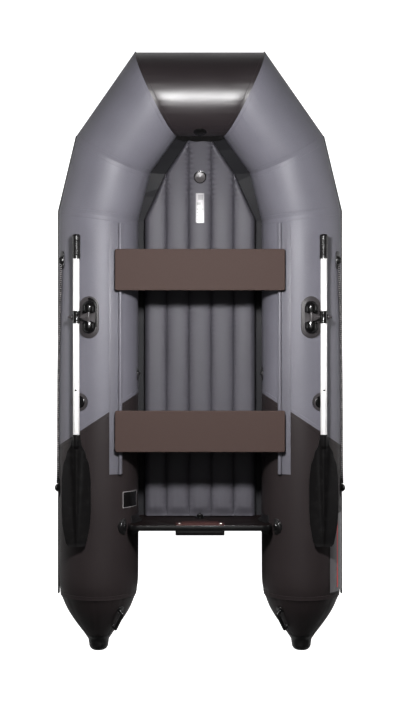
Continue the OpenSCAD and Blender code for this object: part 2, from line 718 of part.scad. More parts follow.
module oar_blade() {
    w = blade_w / 2;
    color([0.04, 0.04, 0.04]) at_oar() difference() {
        union() {
            translate([0, 0, -blade_t / 2]) linear_extrude(blade_t) polygon(concat(
                [for (t = [0:0.125:1]) [20 + (w - 20) * (1 - cos(180 * t)) / 2, blade_neck - 214 * t]],
                [[w, blade_neck - 380], [w - 6, blade_neck - 470], [w - 18, blade_neck - 540],
                 [w - 28, blade_end + 6], [w - 40, blade_end],
                 [-w + 40, blade_end], [-w + 28, blade_end + 6],
                 [-w + 18, blade_neck - 540], [-w + 6, blade_neck - 470], [-w, blade_neck - 380]],
                [for (t = [1:-0.125:0]) [-20 - (w - 20) * (1 - cos(180 * t)) / 2, blade_neck - 214 * t]]));
            along_oar(blade_neck - 60, blade_neck + 12, shaft_r + 3);
            translate([0, blade_neck - 60, 0]) rotate([90, 0, 0])
                cylinder(r1 = shaft_r + 3, r2 = blade_t / 2 + 1, h = blade_len - 130);
        }
        along_oar(blade_neck - 50, blade_neck + 20, shaft_r);
    }
}
module oar_collar() {
    color([0.05, 0.05, 0.05]) at_oar() difference() {
        union() {
            along_oar(-32, 32, shaft_r + 2.5);
            for (y = [-32, -20, 14, 26]) along_oar(y, y + 6, shaft_r + 4.5);
        }
        along_oar(-33, 33, shaft_r);
        stem_hole();
    }
}

// ---- grab lines, handles and strap eyes ----
hub_fore = [510, 59];                       // place along the boat, degrees outboard of the top
hub_aft = [-715, 90 - hub_over_strake / tube_r * 180 / PI];
hub_base_len = 100;
module hub_at(h) {
    on_side(h[0], h[1]) difference() {
        union() {
            translate([0, 0, -6]) linear_extrude(9) slot_shape(44, hub_base_len);
            translate([0, 0, 2]) sphere(hub_r);
        }
        translate([0, 0, -tube_r]) rotate([90, 0, 0]) cylinder(r = tube_r + fit, h = 300, center = true);
    }
}
module grab_line_hubs() color([0.04, 0.04, 0.04]) both() for (h = [hub_fore, hub_aft]) hub_at(h);

// the line's way: place along the boat, degrees outboard of the top, height over the tube
line_way = [[486, 59, 9], [440, 60, 8], [360, 62, 6.5], [260, 65, 6.5], [160, 68, 6.5], [60, 70, 6.5],
            [-40, 72, 6.5], [-140, 74, 6.5], [-240, 75, 6.5], [-340, 76, 6.5], [-440, 76, 6.5],
            [-540, 77, 6.5], [-640, 77, 8], [-691, 78, 9]];
function way_point(w) = [side_x + (tube_r + w[2]) * sin(w[1]), w[0], tube_r + (tube_r + w[2]) * cos(w[1])];
function spline(a, b, c, d, t) = 0.5 * (2 * b + (c - a) * t + (2 * a - 5 * b + 4 * c - d) * t * t
                                        + (3 * b - a - 3 * c + d) * t * t * t);
line_steps = 3;
line_sides = 8;
line_points = let(p = [for (w = line_way) way_point(w)], n = len(p)) concat(
    [for (i = [0:n - 2], k = [0:line_steps - 1])
        spline(p[max(i - 1, 0)], p[i], p[i + 1], p[min(i + 2, n - 1)], k / line_steps)],
    [p[n - 1]]);

module grab_line() {
    n = len(line_points);
    rings = [for (p = line_points, k = [0:line_sides - 1])
        p + line_d / 2 * [cos(360 * k / line_sides), 0, sin(360 * k / line_sides)]];
    sides = [for (i = [0:n - 2], k = [0:line_sides - 1]) let(j = (k + 1) % line_sides)
        [i * line_sides + k, i * line_sides + j, (i + 1) * line_sides + j, (i + 1) * line_sides + k]];
    ends = [[for (k = [line_sides - 1:-1:0]) k], [for (k = [0:line_sides - 1]) (n - 1) * line_sides + k]];
    color([0.1, 0.1, 0.1]) polyhedron(rings, concat(sides, ends));
}

handle_deg = 46;
cone_slope = atan((tube_r - cone_end_r) / cone_len);
handle_s = half_len - handle_fore;          // handle's middle, aft of the origin
handle_cone_r = tube_r - (handle_s + cone_y) * tan(cone_slope);
module at_handle() translate([side_x, -handle_s, tube_r]) rotate([0, -handle_deg, 0])
    translate([0, 0, handle_cone_r]) rotate([cone_slope, 0, 0]) children();
module stern_handles() {
    rise = 30;
    bar_r = 9;
    color([0.05, 0.05, 0.05]) both() difference() {
        at_handle() {
            for (s = [-1, 1]) translate([0, s * handle_len / 2, -14]) {
                linear_extrude(18) slot_shape(46, 60);
                cylinder(r = bar_r, h = 14 + rise);
                translate([0, 0, 14 + rise]) sphere(bar_r);
            }
            translate([0, handle_len / 2, rise]) rotate([90, 0, 0]) cylinder(r = bar_r, h = handle_len);
        }
        cone_volume(fit);
        side_volume_aft();
    }
}
module side_volume_aft() translate([side_x, cone_y + 300, tube_r]) rotate([90, 0, 0])
    cylinder(r = tube_r + fit, h = 300);

module strap_eyes() {                       // webbing loops for the fuel tank's strap
    color([0.05, 0.05, 0.05]) both() translate([side_x, panel_y + eye_ahead, tube_r]) rotate([90, 0, 0])
        rotate([0, 0, 168]) rotate_extrude(angle = 18) translate([tube_r + fit, -33]) {
            square([2, 66]);
            translate([2, 24]) square([7, 18]);
        }
}

bow_tube();  // tube_bow
tube_shoulders();
tube_forwards();
mirror([1, 0, 0]) side_tube();  // tube_side_port
side_tube();  // tube_side_starboard
mirror([1, 0, 0]) stern_tube();  // tube_stern_port
stern_tube();  // tube_stern_starboard
stern_cones();
cone_caps();
bulkheads();
rub_strake();
bottom_skin();
keel_guard();
floor_top();
floor_webs();
transom_board();
transom_trim();
transom_brackets();
transom_holders();
motor_pad_outer();
motor_pad_inner();
pad_bolts();
drain_valve();
drain_plug();
mirror([1, 0, 0]) bench_rail();  // bench_rail_port
bench_rail();  // bench_rail_starboard
bench_board(bench_front_y);  // bench_front_board
bench_shoes(bench_front_y);  // bench_front_shoes
bench_board(bench_rear_y);  // bench_rear_board
bench_shoes(bench_rear_y);  // bench_rear_shoes
valve_housings();
mirror([1, 0, 0]) at_side_valve() valve_cap();  // valve_cap_port
at_side_valve() valve_cap();  // valve_cap_starboard
at_bow_valve() valve_cap();  // valve_cap_bow
at_floor_valve() valve_cap();  // valve_cap_floor
mirror([1, 0, 0]) at_side_valve() valve_poppet();  // valve_poppet_port
at_side_valve() valve_poppet();  // valve_poppet_starboard
at_bow_valve() valve_poppet();  // valve_poppet_bow
at_floor_valve() valve_poppet();  // valve_poppet_floor
oarlock_bases();
oarlock_axles();
mirror([1, 0, 0]) oarlock_tee();  // oarlock_tee_port
oarlock_tee();  // oarlock_tee_starboard
mirror([1, 0, 0]) oar_shaft();  // oar_shaft_port
mirror([1, 0, 0]) oar_grip();  // oar_grip_port
mirror([1, 0, 0]) oar_blade();  // oar_blade_port
mirror([1, 0, 0]) oar_collar();  // oar_collar_port
mirror([1, 0, 0]) oar_button();  // oar_button_port
oar_shaft();  // oar_shaft_starboard
oar_grip();  // oar_grip_starboard
oar_blade();  // oar_blade_starboard
oar_collar();  // oar_collar_starboard
oar_button();  // oar_button_starboard
grab_line_hubs();
mirror([1, 0, 0]) grab_line();  // grab_line_port
grab_line();  // grab_line_starboard
stern_handles();
strap_eyes();
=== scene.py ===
import math

import bmesh
import bpy
from mathutils import Matrix, Vector
from mathutils.noise import noise


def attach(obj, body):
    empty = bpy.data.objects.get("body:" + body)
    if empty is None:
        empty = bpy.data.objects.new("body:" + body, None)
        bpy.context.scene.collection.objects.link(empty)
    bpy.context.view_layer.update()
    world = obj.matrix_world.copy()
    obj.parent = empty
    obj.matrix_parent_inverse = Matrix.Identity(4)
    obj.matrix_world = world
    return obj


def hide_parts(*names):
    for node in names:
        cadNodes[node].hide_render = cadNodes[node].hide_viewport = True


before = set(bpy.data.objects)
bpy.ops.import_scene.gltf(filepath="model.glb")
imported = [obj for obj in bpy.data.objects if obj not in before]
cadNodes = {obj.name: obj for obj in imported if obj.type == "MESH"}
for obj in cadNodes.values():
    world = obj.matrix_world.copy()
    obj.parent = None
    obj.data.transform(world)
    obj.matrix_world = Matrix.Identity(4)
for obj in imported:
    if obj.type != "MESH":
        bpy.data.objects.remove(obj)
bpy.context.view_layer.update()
scene = bpy.context.scene


# hull sizes, in metres, as the part has them
hull = {
    "tubeRadius": 0.215,
    "sideX": 0.552,
    "bowY": 1.377,
    "bowRise": 0.190,
    "bowHalf": 0.229,
    "shoulder": (0.465, 1.085, 0.275),
    "forwardY": 0.760,
    "coneY": -1.294,
    "coneLength": 0.246,
    "coneEndRadius": 0.052,
    "panelY": -0.346,
    "panelAngle": 33.5,
}

tubeRadius = hull["tubeRadius"]
bowPoint = Vector((hull["bowHalf"], hull["bowY"], tubeRadius + hull["bowRise"]))
shoulderPoint = Vector(hull["shoulder"])
forwardPoint = Vector((hull["sideX"], hull["forwardY"], tubeRadius))
conePoint = Vector((hull["sideX"], hull["coneY"], tubeRadius))
panelPoint = Vector((hull["sideX"], hull["panelY"], tubeRadius))


# camera
cameraSetup = {"height": 6.215, "lens": 55.7, "sensor": 36.0}

def makeCamera():
    data = bpy.data.cameras.new("boatCamera")
    data.lens = cameraSetup["lens"]
    data.sensor_width = cameraSetup["sensor"]
    camera = bpy.data.objects.new("boatCamera", data)
    camera.location = (0, 0, cameraSetup["height"])     # straight above, bow at the top
    scene.collection.objects.link(camera)
    scene.camera = camera

makeCamera()
print("camera made")


# mesh helpers
def addPiece(name, mesh, body, nodes=(), material=None):
    piece = bpy.data.objects.new(name, mesh)
    scene.collection.objects.link(piece)
    if material:
        mesh.materials.clear()
        mesh.materials.append(material)
    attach(piece, body)
    if nodes:
        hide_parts(*nodes)
    return piece


def gridMesh(name, rows, closed=False, caps=False, mergeAt=None):
    count = len(rows[0])
    mesh = bpy.data.meshes.new(name)
    points = [tuple(p) for row in rows for p in row]
    faces = []
    for i in range(len(rows) - 1):
        for j in range(count if closed else count - 1):
            k = (j + 1) % count
            faces.append((i * count + j, i * count + k, (i + 1) * count + k, (i + 1) * count + j))
    if caps:
        faces.append(tuple(range(count - 1, -1, -1)))
        faces.append(tuple(range((len(rows) - 1) * count, len(rows) * count)))
    mesh.from_pydata(points, [], faces)
    work = bmesh.new()
    work.from_mesh(mesh)
    if mergeAt:
        bmesh.ops.remove_doubles(work, verts=work.verts, dist=mergeAt)
    bmesh.ops.recalc_face_normals(work, faces=work.faces)
    work.to_mesh(mesh)
    work.free()
    mesh.shade_smooth()
    mesh.set_sharp_from_angle(angle=math.radians(38))
    return mesh


def flipX(mesh):
    mesh.transform(Matrix.Scale(-1, 4, (1, 0, 0)))
    mesh.flip_normals()
    return mesh


def revolve(name, profile, origin, axis, sides=40):     # profile holds (distance along, radius)
    axis = Vector(axis).normalized()
    first = axis.orthogonal().normalized()
    second = axis.cross(first)
    rows = []
    for along, radius in profile:
        centre = Vector(origin) + axis * along
        rows.append([centre + (first * math.cos(t) + second * math.sin(t)) * max(radius, 1e-5)
                     for t in (2 * math.pi * k / sides for k in range(sides))])
    return gridMesh(name, rows, closed=True, caps=True)


def softened(name, node, body, width, material, segments=2):  # the part's own solid with worn edges
    mesh = cadNodes[node].data.copy()
    work = bmesh.new()
    work.from_mesh(mesh)
    bmesh.ops.remove_doubles(work, verts=work.verts, dist=2e-5)
    bmesh.ops.dissolve_limit(work, angle_limit=math.radians(0.6), verts=work.verts, edges=work.edges)
    sharp = [e for e in work.edges if len(e.link_faces) == 2 and e.calc_face_angle(0) > math.radians(34)]
    bmesh.ops.bevel(work, geom=sharp, offset=width, segments=segments, profile=0.5,
                    affect="EDGES", clamp_overlap=True)
    work.to_mesh(mesh)
    work.free()
    mesh.shade_smooth()
    mesh.set_sharp_from_angle(angle=math.radians(40))
    return addPiece(name, mesh, body, [node], material)


def twoTone(piece, material, picks):     # a second finish on the faces whose middles are picked
    piece.data.materials.append(material)
    for face in piece.data.polygons:
        if picks(face.center):
            face.material_index = 1


def overTube(point):        # height over a side tube
    return math.hypot(abs(point.x) - hull["sideX"], point.z - tubeRadius) - tubeRadius


def smoothStep(a, b, x):
    t = min(1.0, max(0.0, (x - a) / (b - a)))
    return t * t * (3 - 2 * t)


# shader groups
def startGroup(name, inputs, outputs):
    group = bpy.data.node_groups.new(name, "ShaderNodeTree")
    for label, kind, value in inputs:
        socket = group.interface.new_socket(label, in_out="INPUT", socket_type=kind)
        socket.default_value = value
    for label, kind in outputs:
        group.interface.new_socket(label, in_out="OUTPUT", socket_type=kind)
    start = group.nodes.new("NodeGroupInput")
    end = group.nodes.new("NodeGroupOutput")
    return group, start, end


def addNode(tree, kind, **values):
    node = tree.nodes.new(kind)
    for key, value in values.items():
        if key in node.inputs:
            node.inputs[key].default_value = value
        else:
            setattr(node, key, value)
    return node


def mathNode(tree, operation, first, second=None, third=None):
    node = tree.nodes.new("ShaderNodeMath")
    node.operation = operation
    for index, value in enumerate((first, second, third)):
        if value is None:
            continue
        if isinstance(value, (int, float)):
            node.inputs[index].default_value = value
        else:
            tree.links.new(value, node.inputs[index])
    return node.outputs[0]


def mixColour(tree, factor, first, second, mode="MIX"):
    node = tree.nodes.new("ShaderNodeMix")
    node.data_type = "RGBA"
    node.blend_type = mode
    values = ((node.inputs["Factor"], factor), (node.inputs[6], first), (node.inputs[7], second))
    for socket, value in values:
        if isinstance(value, (int, float)):
            socket.default_value = value
        elif isinstance(value, tuple):
            socket.default_value = value
        else:
            tree.links.new(value, socket)
    return node.outputs[2]


def makeFabricWeave():      # coated cloth: faint scrim, mottling and fine grain
    group, start, end = startGroup(
        "fabricWeave",
        [("Colour", "NodeSocketColor", (0.2, 0.2, 0.2, 1)), ("Mottle", "NodeSocketFloat", 0.12),
         ("Thread", "NodeSocketFloat", 700.0), ("Roughness", "NodeSocketFloat", 0.5)],
        [("Colour", "NodeSocketColor"), ("Roughness", "NodeSocketFloat"), ("Height", "NodeSocketFloat")])
    link = group.links.new
    place = addNode(group, "ShaderNodeTexCoord").outputs["Object"]
    cloud = addNode(group, "ShaderNodeTexNoise", Scale=5.0, Detail=4.0)
    grain = addNode(group, "ShaderNodeTexNoise", Scale=420.0, Detail=2.0)
    link(place, cloud.inputs["Vector"])
    link(place, grain.inputs["Vector"])
    threads = []
    for direction in ("X", "Y", "Z"):
        wave = addNode(group, "ShaderNodeTexWave", bands_direction=direction)
        link(place, wave.inputs["Vector"])
        link(start.outputs["Thread"], wave.inputs["Scale"])
        threads.append(wave.outputs["Fac"])
    scrim = mathNode(group, "ADD", mathNode(group, "ADD", threads[0], threads[1]), threads[2])
    shade = mathNode(group, "MULTIPLY_ADD", mathNode(group, "SUBTRACT", cloud.outputs["Fac"], 0.5),
                     start.outputs["Mottle"], 0.5)
    offset = mathNode(group, "SUBTRACT", grain.outputs["Fac"], 0.5)
    speck = mathNode(group, "MULTIPLY_ADD", offset, 0.18, shade)
    light = mixColour(group, 1.0, start.outputs["Colour"], (2, 2, 2, 1), "MULTIPLY")
    bright = addNode(group, "ShaderNodeCombineColor")
    for socket in bright.inputs:
        link(speck, socket)
    link(mixColour(group, 1.0, light, bright.outputs[0], "MULTIPLY"), end.inputs["Colour"])
    link(mathNode(group, "MULTIPLY_ADD", mathNode(group, "SUBTRACT", cloud.outputs["Fac"], 0.5), 0.15,
                  start.outputs["Roughness"]), end.inputs["Roughness"])
    link(mathNode(group, "MULTIPLY_ADD", grain.outputs["Fac"], 0.6,
                  mathNode(group, "MULTIPLY", scrim, 0.2)), end.inputs["Height"])
    return group


def makeMouldedGrain():     # moulded plastic and rubber: fine spark texture, light scuffs and dust
    group, start, end = startGroup(
        "mouldedGrain",
        [("Colour", "NodeSocketColor", (0.02, 0.02, 0.02, 1)),
         ("Scuff Colour", "NodeSocketColor", (0.1, 0.1, 0.1, 1)),
         ("Scuff", "NodeSocketFloat", 0.3), ("Grain", "NodeSocketFloat", 900.0),
         ("Roughness", "NodeSocketFloat", 0.4)],
        [("Colour", "NodeSocketColor"), ("Roughness", "NodeSocketFloat"), ("Height", "NodeSocketFloat")])
    link = group.links.new
    place = addNode(group, "ShaderNodeTexCoord").outputs["Object"]
    grain = addNode(group, "ShaderNodeTexNoise", Detail=2.0)
    link(place, grain.inputs["Vector"])
    link(start.outputs["Grain"], grain.inputs["Scale"])
    scuff = addNode(group, "ShaderNodeTexNoise", Scale=28.0, Detail=6.0, Roughness=0.7)
    link(place, scuff.inputs["Vector"])
    mask = mathNode(group, "MULTIPLY", mathNode(group, "MAXIMUM", mathNode(
        group, "MULTIPLY", mathNode(group, "SUBTRACT", scuff.outputs["Fac"], 0.52), 4.0), 0.0),
        start.outputs["Scuff"])
    mixed = mixColour(group, mask, start.outputs["Colour"], start.outputs["Scuff Colour"])
    link(mixed, end.inputs["Colour"])
    link(mathNode(group, "MULTIPLY_ADD", mask, 0.25, start.outputs["Roughness"]), end.inputs["Roughness"])
    link(grain.outputs["Fac"], end.inputs["Height"])
    return group


def makeLongGrain():        # fine lines along one direction: film-faced ply, drawn aluminium
    group, start, end = startGroup(
        "longGrain",
        [("Colour", "NodeSocketColor", (0.2, 0.15, 0.1, 1)),
         ("Line Colour", "NodeSocketColor", (0.1, 0.08, 0.05, 1)),
         ("Stretch", "NodeSocketVector", (4.0, 160.0, 160.0)), ("Strength", "NodeSocketFloat", 0.5),
         ("Roughness", "NodeSocketFloat", 0.4)],
        [("Colour", "NodeSocketColor"), ("Roughness", "NodeSocketFloat"), ("Height", "NodeSocketFloat")])
    link = group.links.new
    place = addNode(group, "ShaderNodeTexCoord").outputs["Object"]
    scaled = addNode(group, "ShaderNodeVectorMath", operation="MULTIPLY")
    link(place, scaled.inputs[0])
    link(start.outputs["Stretch"], scaled.inputs[1])
    lines = addNode(group, "ShaderNodeTexNoise", Scale=1.0, Detail=5.0, Roughness=0.6)
    link(scaled.outputs[0], lines.inputs["Vector"])
    amount = mathNode(group, "MULTIPLY", lines.outputs["Fac"], start.outputs["Strength"])
    mixed = mixColour(group, amount, start.outputs["Colour"], start.outputs["Line Colour"])
    link(mixed, end.inputs["Colour"])
    link(mathNode(group, "MULTIPLY_ADD", lines.outputs["Fac"], 0.2, start.outputs["Roughness"]),
         end.inputs["Roughness"])
    link(lines.outputs["Fac"], end.inputs["Height"])
    return group


weaveGroup = makeFabricWeave()
grainGroup = makeMouldedGrain()
lineGroup = makeLongGrain()


def makeMaterial(name, group, groupValues, bump, surface):
    material = bpy.data.materials.new(name)
    material.use_nodes = True
    tree = material.node_tree
    shader = tree.nodes["Principled BSDF"]
    for label, value in surface.items():
        shader.inputs[label].default_value = value
    effect = tree.nodes.new("ShaderNodeGroup")
    effect.node_tree = group
    for label, value in groupValues.items():
        effect.inputs[label].default_value = value
    relief = addNode(tree, "ShaderNodeBump", Strength=bump[0], Distance=bump[1])
    tree.links.new(effect.outputs["Height"], relief.inputs["Height"])
    tree.links.new(relief.outputs["Normal"], shader.inputs["Normal"])
    tree.links.new(effect.outputs["Colour"], shader.inputs["Base Color"])
    tree.links.new(effect.outputs["Roughness"], shader.inputs["Roughness"])
    return material


def fabric(name, colour, roughness, mottle=0.12, sheen=0.0, level=0.5):
    return makeMaterial(name, weaveGroup,
                        {"Colour": (*colour, 1), "Mottle": mottle, "Roughness": roughness},
                        (0.25, 0.0006), {"Specular IOR Level": level, "Sheen Weight": sheen})


def moulded(name, colour, roughness, scuff=0.25, level=0.5, grain=900.0):
    return makeMaterial(name, grainGroup,
                        {"Colour": (*colour, 1), "Scuff": scuff, "Grain": grain, "Roughness": roughness,
                         "Scuff Colour": (*[c + 0.05 for c in colour], 1)},
                        (0.2, 0.0005), {"Specular IOR Level": level})


def grained(name, colour, lineColour, stretch, strength, roughness, metallic=0.0, bump=0.0004, level=0.5):
    return makeMaterial(name, lineGroup,
                        {"Colour": (*colour, 1), "Line Colour": (*lineColour, 1), "Stretch": stretch,
                         "Strength": strength, "Roughness": roughness},
                        (0.25, bump), {"Metallic": metallic, "Specular IOR Level": level})


finish = {
    "greyTube": fabric("greyTube", (0.116, 0.113, 0.131), 0.55, level=0.40),
    "greyTape": fabric("greyTape", (0.118, 0.115, 0.131), 0.50, level=0.4),
    "darkTube": fabric("darkTube", (0.0235, 0.0185, 0.0190), 0.50, level=0.25),
    "bowTube": fabric("bowTube", (0.024, 0.0190, 0.0205), 0.42, level=0.75),
    "floorCloth": fabric("floorCloth", (0.055, 0.0525, 0.0615), 0.62, 0.2, level=0.4),
    # bottom skin: colour darkened far below the floor cloth, painted shade for the gap between floor and
    # tubes
    "bottomClothPaintedShade": fabric("bottomClothPaintedShade", (0.009, 0.0088, 0.0105), 0.65, 0.25, level=0.25),
    "blackRubber": moulded("blackRubber", (0.0060, 0.0056, 0.0058), 0.38),
    "blackPlastic": moulded("blackPlastic", (0.0050, 0.0046, 0.0048), 0.24, 0.15, 0.45),
    "greyPlastic": moulded("greyPlastic", (0.055, 0.050, 0.052), 0.4),
    "trimPlastic": moulded("trimPlastic", (0.0060, 0.0056, 0.0058), 0.25, 0.1),
    "bladePlastic": moulded("bladePlastic", (0.0045, 0.0040, 0.0042), 0.36, 0.15, 0.25),
    "valvePlastic": moulded("valvePlastic", (0.5, 0.5, 0.48), 0.4),
    "steel": grained("steel", (0.75, 0.75, 0.74), (0.6, 0.6, 0.6), (60, 60, 900), 0.4, 0.22, 1.0, 0.0001),
    "shaftMetal": grained("shaftMetal", (0.66, 0.65, 0.645), (0.60, 0.59, 0.59),
                    (300, 4, 300), 0.3, 0.34, 0.25, 0.00003),
    "benchFilm": grained("benchFilm", (0.062, 0.042, 0.037), (0.042, 0.027, 0.024),
                    (90, 420, 420), 0.5, 0.6, level=0.2),
    "transomPaint": grained("transomPaint", (0.0065, 0.0030, 0.0029), (0.004, 0.002, 0.002),
                    (8, 90, 90), 0.6, 0.45, level=0.25),
    "padWood": grained("padWood", (0.055, 0.024, 0.022), (0.035, 0.014, 0.013),
                    (10, 220, 220), 0.7, 0.5, level=0.2),
    # flush patches under fittings: lighter than the black bodies, partly the patches' own rubber and partly
    # painted highlight on their rims
    "patchGreyAndHighlight": moulded("patchGreyAndHighlight", (0.040, 0.036, 0.038), 0.42, 0.2),
    "labelWhite": moulded("labelWhite", (0.215, 0.205, 0.21), 0.35, 0.05),
    "labelGrey": moulded("labelGrey", (0.12, 0.115, 0.12), 0.35, 0.05),
    "panelGrey": moulded("panelGrey", (0.10, 0.095, 0.10), 0.35, 0.1),
    "panelRed": moulded("panelRed", (0.50, 0.02, 0.02), 0.35, 0.05),
    # lighter grey bands on the rope: painted highlights on the braid
    "ropePaintedHighlight": moulded("ropePaintedHighlight", (0.16, 0.15, 0.15), 0.7, 0.3, 0.3, 1500.0),
    "rope": moulded("rope", (0.018, 0.018, 0.019), 0.7, 0.5, 0.3, 1500.0),
}
print("finishes made")


# grab lines: the route that the part has, in metres
grabLine = {
    "diameter": 0.011,
    "stepsPerPoint": 3,
    "way": [(0.486, 59, 0.009), (0.440, 60, 0.008), (0.360, 62, 0.0065), (0.260, 65, 0.0065),
            (0.160, 68, 0.0065), (0.060, 70, 0.0065), (-0.040, 72, 0.0065), (-0.140, 74, 0.0065),
            (-0.240, 75, 0.0065), (-0.340, 76, 0.0065), (-0.440, 76, 0.0065), (-0.540, 77, 0.0065),
            (-0.640, 77, 0.008), (-0.691, 78, 0.009)],      # along the boat, degrees from the top, lift
    "braidSides": 16,
    "braidPitch": 0.012,
    "braidDepth": 0.0007,
    "paintedHighlightPitch": 0.0105,
}

def splinePoints(points, steps):
    last = len(points) - 1
    made = []
    for i in range(last):
        a, b, c, d = (points[max(i - 1, 0)], points[i], points[i + 1], points[min(i + 2, last)])
        for k in range(steps):
            t = k / steps
            made.append(0.5 * (2 * b + (c - a) * t + (2 * a - 5 * b + 4 * c - d) * t * t
                               + (3 * b - a - 3 * c + d) * t ** 3))
    return made + [points[last]]


def sweepTube(name, path, radiusAt, sides, caps=True):
    rows = []
    up = Vector((1, 0, 0))
    for i, centre in enumerate(path):
        along = (path[min(i + 1, len(path) - 1)] - path[max(i - 1, 0)]).normalized()
        across = along.cross(up).normalized()
        other = across.cross(along).normalized()
        rows.append([centre + (across * math.cos(t) + other * math.sin(t)) * radiusAt(i, t)
                     for t in (2 * math.pi * k / sides for k in range(sides))])
    return gridMesh(name, rows, closed=True, caps=caps)


def makeGrabLine(side, sign):
    radius = grabLine["diameter"] / 2
    way = [Vector((sign * (hull["sideX"] + (tubeRadius + lift) * math.sin(math.radians(turn))), y,
                   tubeRadius + (tubeRadius + lift) * math.cos(math.radians(turn))))
           for y, turn, lift in grabLine["way"]]
    fine = splinePoints(way, 40)

    def braid(i, turn):
        phase = 2 * math.pi * fine[i].y / grabLine["braidPitch"]
        strands = math.cos(4 * turn + phase) * math.cos(4 * turn - phase)
        return radius - grabLine["braidDepth"] * (0.5 - 0.5 * strands)

    mesh = sweepTube("grabLine_" + side, fine, braid, grabLine["braidSides"])
    line = addPiece("grabLine_" + side, mesh, "hull", ["grab_line_" + side], finish["rope"])
    # lighter bands at a set pitch along the rope: painted highlights on the braid
    highlightRate = 2 * math.pi / grabLine["paintedHighlightPitch"]
    twoTone(line, finish["ropePaintedHighlight"], lambda p: math.sin(highlightRate * p.y) > 0.3)

for side, sign in (("port", -1), ("starboard", 1)):
    makeGrabLine(side, sign)
print("grab lines made")


# inflated tubes
tubeLook = {
    "sides": 96,
    "tapeWidth": 0.020,         # seam tape each side of a bend
    "tapeLift": 0.0015,
    "seamDip": 0.0035,          # the cloth draws in at a seam
    "dipReach": 0.030,
    "pucker": 0.0022,           # wrinkles on the inside of a bend
    "puckerReach": 0.055,
    "puckerCount": 34,
}

def unitSum(a, b):
    return a.normalized() + b.normalized()

bowMitre = unitSum(Vector((1, 0, 0)), shoulderPoint - bowPoint)
shoulderMitre = unitSum(shoulderPoint - bowPoint, forwardPoint - shoulderPoint)
forwardMitre = unitSum(forwardPoint - shoulderPoint, Vector((0, -1, 0)))
panelTurn = math.radians(hull["panelAngle"])
panelNormal = Vector((-math.sin(panelTurn), -math.cos(panelTurn), 0))
sternNormal = Vector((0, -1, 0))


def tubeRows(a, b, startNormal, endNormal, startPucker, endPucker, bands=(), endTaper=0.0):
    along = (b - a).normalized()
    out = Vector((0, 0, 1)).cross(along).normalized()
    up = along.cross(out)
    up = up if up.z > 0 else -up
    length = (b - a).length
    near = [0, 0.003, 0.008, 0.014, 0.0195, 0.0205, 0.028, 0.038, 0.052, 0.07, 0.095]
    columns = []
    for k in range(tubeLook["sides"]):
        turn = 2 * math.pi * k / tubeLook["sides"]
        ray = out * math.cos(turn) + up * math.sin(turn)
        offset = ray * tubeRadius
        t0 = -offset.dot(startNormal) / along.dot(startNormal)
        t1 = length - offset.dot(endNormal) / along.dot(endNormal)
        inner = 0.5 - 0.5 * math.cos(turn)              # 1 at the inboard side
        span = t1 - t0
        marks = [min(d, span * 0.48) for d in near]
        middle = [marks[-1] + (span - 2 * marks[-1]) * i / 24 for i in range(1, 24)]
        stops = marks + middle + [span - d for d in reversed(marks)]
        column = []
        for s in stops:
            radius = tubeRadius
            for d, pucker in ((s, startPucker), (span - s, endPucker)):
                radius -= tubeLook["seamDip"] * math.exp(-(d / tubeLook["dipReach"]) ** 2) * pucker
                if d < tubeLook["tapeWidth"]:
                    radius += tubeLook["tapeLift"]
                wave = math.sin(turn * tubeLook["puckerCount"] + 2.5 * noise(ray * 4 + a))
                radius += (tubeLook["pucker"] * wave * pucker * (0.25 + 0.75 * inner)
                           * math.exp(-d / tubeLook["puckerReach"]) * min(1, d / 0.02))
            radius -= endTaper * math.exp(-((span - s) / 0.055) ** 2)
            place = a + along * (t0 + s) + ray * radius
            for bandY, bandHalf in bands:
                if abs(place.y - bandY) < bandHalf:
                    place += ray * tubeLook["tapeLift"] * 0.6
            place += ray * 0.0012 * noise(place * 3.0)
            column.append(place)
        columns.append(column)
    return [[column[i] for column in columns] for i in range(len(columns[0]))]


def addTube(name, node, rows, material, mirrored):
    mesh = gridMesh(name, rows, closed=True)
    if mirrored:
        flipX(mesh)
    return addPiece(name, mesh, "hull", [node], material)


def makeTubes():
    mirrorMitre = Vector((bowMitre.x, -bowMitre.y, -bowMitre.z))
    bowStart = Vector((-bowPoint.x, bowPoint.y, bowPoint.z))
    addTube("bowTube", "tube_bow", tubeRows(bowStart, bowPoint, mirrorMitre, bowMitre, 1, 1),
            finish["bowTube"], False)
    for side, mirrored in (("starboard", False), ("port", True)):
        addTube("shoulderTube_" + side, "tube_shoulders",
                tubeRows(bowPoint, shoulderPoint, bowMitre, shoulderMitre, 1, 0.7),
                finish["greyTube"], mirrored)
        addTube("forwardTube_" + side, "tube_forwards",
                tubeRows(shoulderPoint, forwardPoint, shoulderMitre, forwardMitre, 0.7, 0.5),
                finish["greyTube"], mirrored)
        addTube("sideTube_" + side, "tube_side_" + side,
                tubeRows(forwardPoint, panelPoint, forwardMitre, panelNormal, 0.5, 0.2, [(0.195, 0.011)]),
                finish["greyTube"], mirrored)
        addTube("sternTube_" + side, "tube_stern_" + side,
                tubeRows(panelPoint, conePoint, panelNormal, sternNormal, 0.2, 0.8, endTaper=0.008),
                finish["darkTube"], mirrored)

makeTubes()


coneLook = {"gores": 8, "goreDip": 0.0022, "goreWidth": 0.06, "belly": 0.009, "steps": 26}

